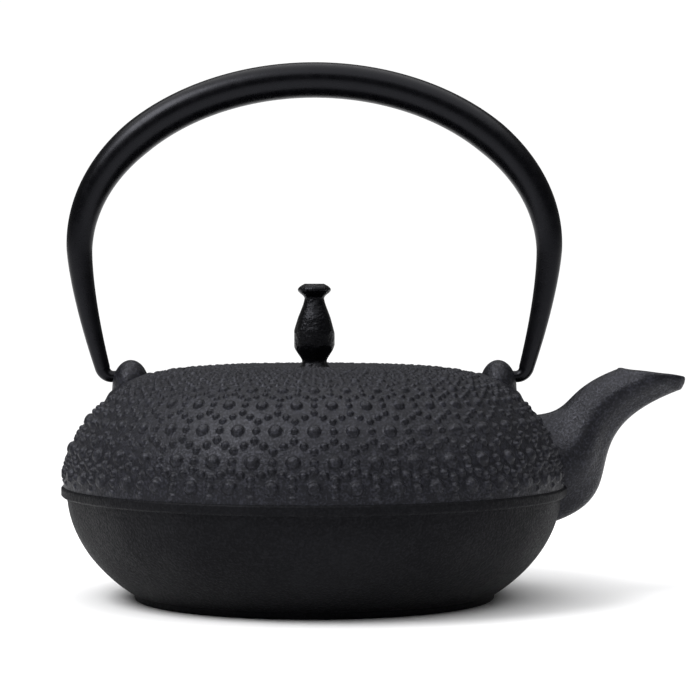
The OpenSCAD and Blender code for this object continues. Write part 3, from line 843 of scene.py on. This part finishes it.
def perforated(name, columns, rows, at, hole, material):
    """A sheet full of round holes. Each cell joins the 8 points of a square to the 8 points of a ring, on
    both faces, and the ring's two faces to each other. at maps (u, v, side) to a point, with u in columns
    and v in rows."""
    g = np.arange(8) * TURN / 8
    reach = np.where(np.arange(8) % 2 == 0, 0.5, 0.5 * math.sqrt(2))
    square = np.stack([reach * np.cos(g), reach * np.sin(g)], axis=1)
    ring = hole * np.stack([np.cos(g), np.sin(g)], axis=1)
    i, j = np.meshgrid(np.arange(columns), np.arange(rows), indexing="ij")
    centre = np.stack([i + 0.5, j + 0.5], axis=-1).reshape(-1, 1, 2)
    k = np.arange(8)
    kk = (k + 1) % 8
    points, tris, base = [], [], 0
    for side in (0, 1):
        uv = np.concatenate([centre + square, centre + ring], axis=1)
        points.append(at(uv[..., 0], uv[..., 1], side).reshape(-1, 3))
        cell = base + np.arange(len(centre))[:, None] * 16
        quads = [cell + k, cell + kk, cell + 8 + kk, cell + 8 + k]
        a, b, c, d = quads if side == 0 else quads[::-1]
        tris += [np.stack([a, b, c], -1).reshape(-1, 3), np.stack([a, c, d], -1).reshape(-1, 3)]
        base += len(centre) * 16
    half = len(centre) * 16
    cell = np.arange(len(centre))[:, None] * 16 + 8
    a, b, c, d = cell + k, cell + kk, half + cell + kk, half + cell + k
    tris += [np.stack([a, b, c], -1).reshape(-1, 3), np.stack([a, c, d], -1).reshape(-1, 3)]
    return mesh_piece(name, np.concatenate(points), np.concatenate(tris), material, smooth=False)


def make_mesh():
    """The strainer's wall: a fine perforated tube."""
    out = mesh_high.x
    low, high = mesh_low.z, mesh_high.z
    columns, rows = 120, 22

    def at(u, v, side):
        r = out - (0.05 + 0.5 * side) * MM
        a = u * TURN / columns
        return np.stack([r * np.cos(a), r * np.sin(a), low + (high - low) * v / rows], axis=-1)

    place(perforated("strainer_wall", columns, rows, at, 0.33, steel_mesh),
          "strainer", "mesh_steel", "strainer_mesh")


def make_cup():
    """The strainer's bottom: a pressed band, and a floor with rings of holes round a plain hub."""
    out, top, low = cup_high.x, cup_high.z, cup_low.z
    t = 0.6 * MM
    line = rounded([(out - 5 * MM, low + t), (out - t, low + t), (out - t, top), (out, top), (out, low),
                    (out - 5 * MM, low)], 0.5 * MM, 5)
    band = spin(stretches(line, 0.8 * MM), 240)
    place(sheet_piece("strainer_band", band, steel_sheet),
          "strainer", "strainer_steel", "strainer_base")
    columns, rows = 72, 12
    r_out = out - 5 * MM

    def at(u, v, side):
        r = r_out * (0.12 + 0.88 * v / rows)
        a = -u * TURN / columns
        return np.stack([r * np.cos(a), r * np.sin(a), low + t * (1 - side) + 0 * r], axis=-1)

    place(perforated("strainer_floor", columns, rows, at, 0.3, steel_mesh),
          "strainer", "strainer_steel", "strainer_base")
    hub = spin(np.array([(0, low + t), (r_out * 0.12, low + t), (r_out * 0.12, low), (0, low)]), 72)
    place(sheet_piece("strainer_hub", hub, steel_sheet, smooth=False),
          "strainer", "strainer_steel", "strainer_base")


# ---------------------------------------------------------------- build

make_upper()
make_bowl()
make_inside()
make_spout()
make_lug("lug_left", -1)
make_lug("lug_right", 1)
make_lid()
make_knob()
make_bail()
make_rim()
make_mesh()
make_cup()

washer = frame["nodes"]["knob_washer"]
washer.data.materials.clear()
washer.data.materials.append(washer_grey)


# ---------------------------------------------------------------- stage, light and camera

def make_floor():
    """A pale floor, wide enough to reach the horizon."""
    half = 30.0
    points = np.array([(-half, -half, 0), (half, -half, 0), (half, half, 0), (-half, half, 0)], float)
    f = Finish("pale_floor", Base_Color=(0.93, 0.93, 0.935, 1), Roughness=0.9, Specular_IOR_Level=0.1)
    floor = mesh_piece("floor", points - (0, 0, 0.02 * MM), [(0, 1, 2), (0, 2, 3)], f.material, smooth=False)


def make_light(name, kind, place_at, aim, **settings):
    """A light of one kind with its settings, which looks at a point."""
    data = bpy.data.lights.new(name, kind)
    for key, value in settings.items():
        setattr(data, key, value)
    lamp = bpy.data.objects.new(name, data)
    bpy.context.scene.collection.objects.link(lamp)
    face(lamp, place_at, aim)


def face(thing, place_at, aim):
    """Puts a light or camera at a place, looking at another."""
    thing.location = place_at
    thing.rotation_euler = (Vector(aim) - Vector(place_at)).to_track_quat("-Z", "Y").to_euler()


def make_world(seen, fill):
    """A white room: its full white is what the eye sees behind the object, and its softer share is the
    fill light."""
    world = bpy.data.worlds.new("white_room")
    bpy.context.scene.world = world
    world.use_nodes = True
    tree = world.node_tree
    background = tree.nodes["Background"]
    background.inputs["Color"].default_value = (1, 1, 1, 1)
    path = tree.nodes.new("ShaderNodeLightPath")
    share = tree.nodes.new("ShaderNodeMapRange")
    share.inputs["To Min"].default_value = fill
    share.inputs["To Max"].default_value = seen
    tree.links.new(path.outputs["Is Camera Ray"], share.inputs["Value"])
    tree.links.new(share.outputs[0], background.inputs["Strength"])


def make_camera(distance, eye_z, aim, lens):
    """The camera, straight in front of the aim along Y, at eye height above the floor."""
    data = bpy.data.cameras.new("camera")
    data.sensor_width = 36
    data.lens = lens
    data.clip_start = 0.01
    camera = bpy.data.objects.new("camera", data)
    bpy.context.scene.collection.objects.link(camera)
    face(camera, (aim[0], -distance, eye_z), aim)
    bpy.context.scene.camera = camera


make_floor()
make_world(1.05, 0.15)
# a wide even light from the sky, with soft shadows, and a small panel at the upper left front
make_light("key_sky", "SUN", (-0.03, -0.10, 1.0), (0, 0, 0), energy=3.3, angle=math.radians(95))
make_light("left_panel", "AREA", (-0.48, -0.36, 0.76), (0, 0, 0.07), shape="SQUARE", size=0.45, energy=5.8)
bpy.context.scene.view_settings.view_transform = "Standard"
make_camera(857.5 * MM, 106 * MM, (12.2 * MM, 0, 84.7 * MM), 128.6)
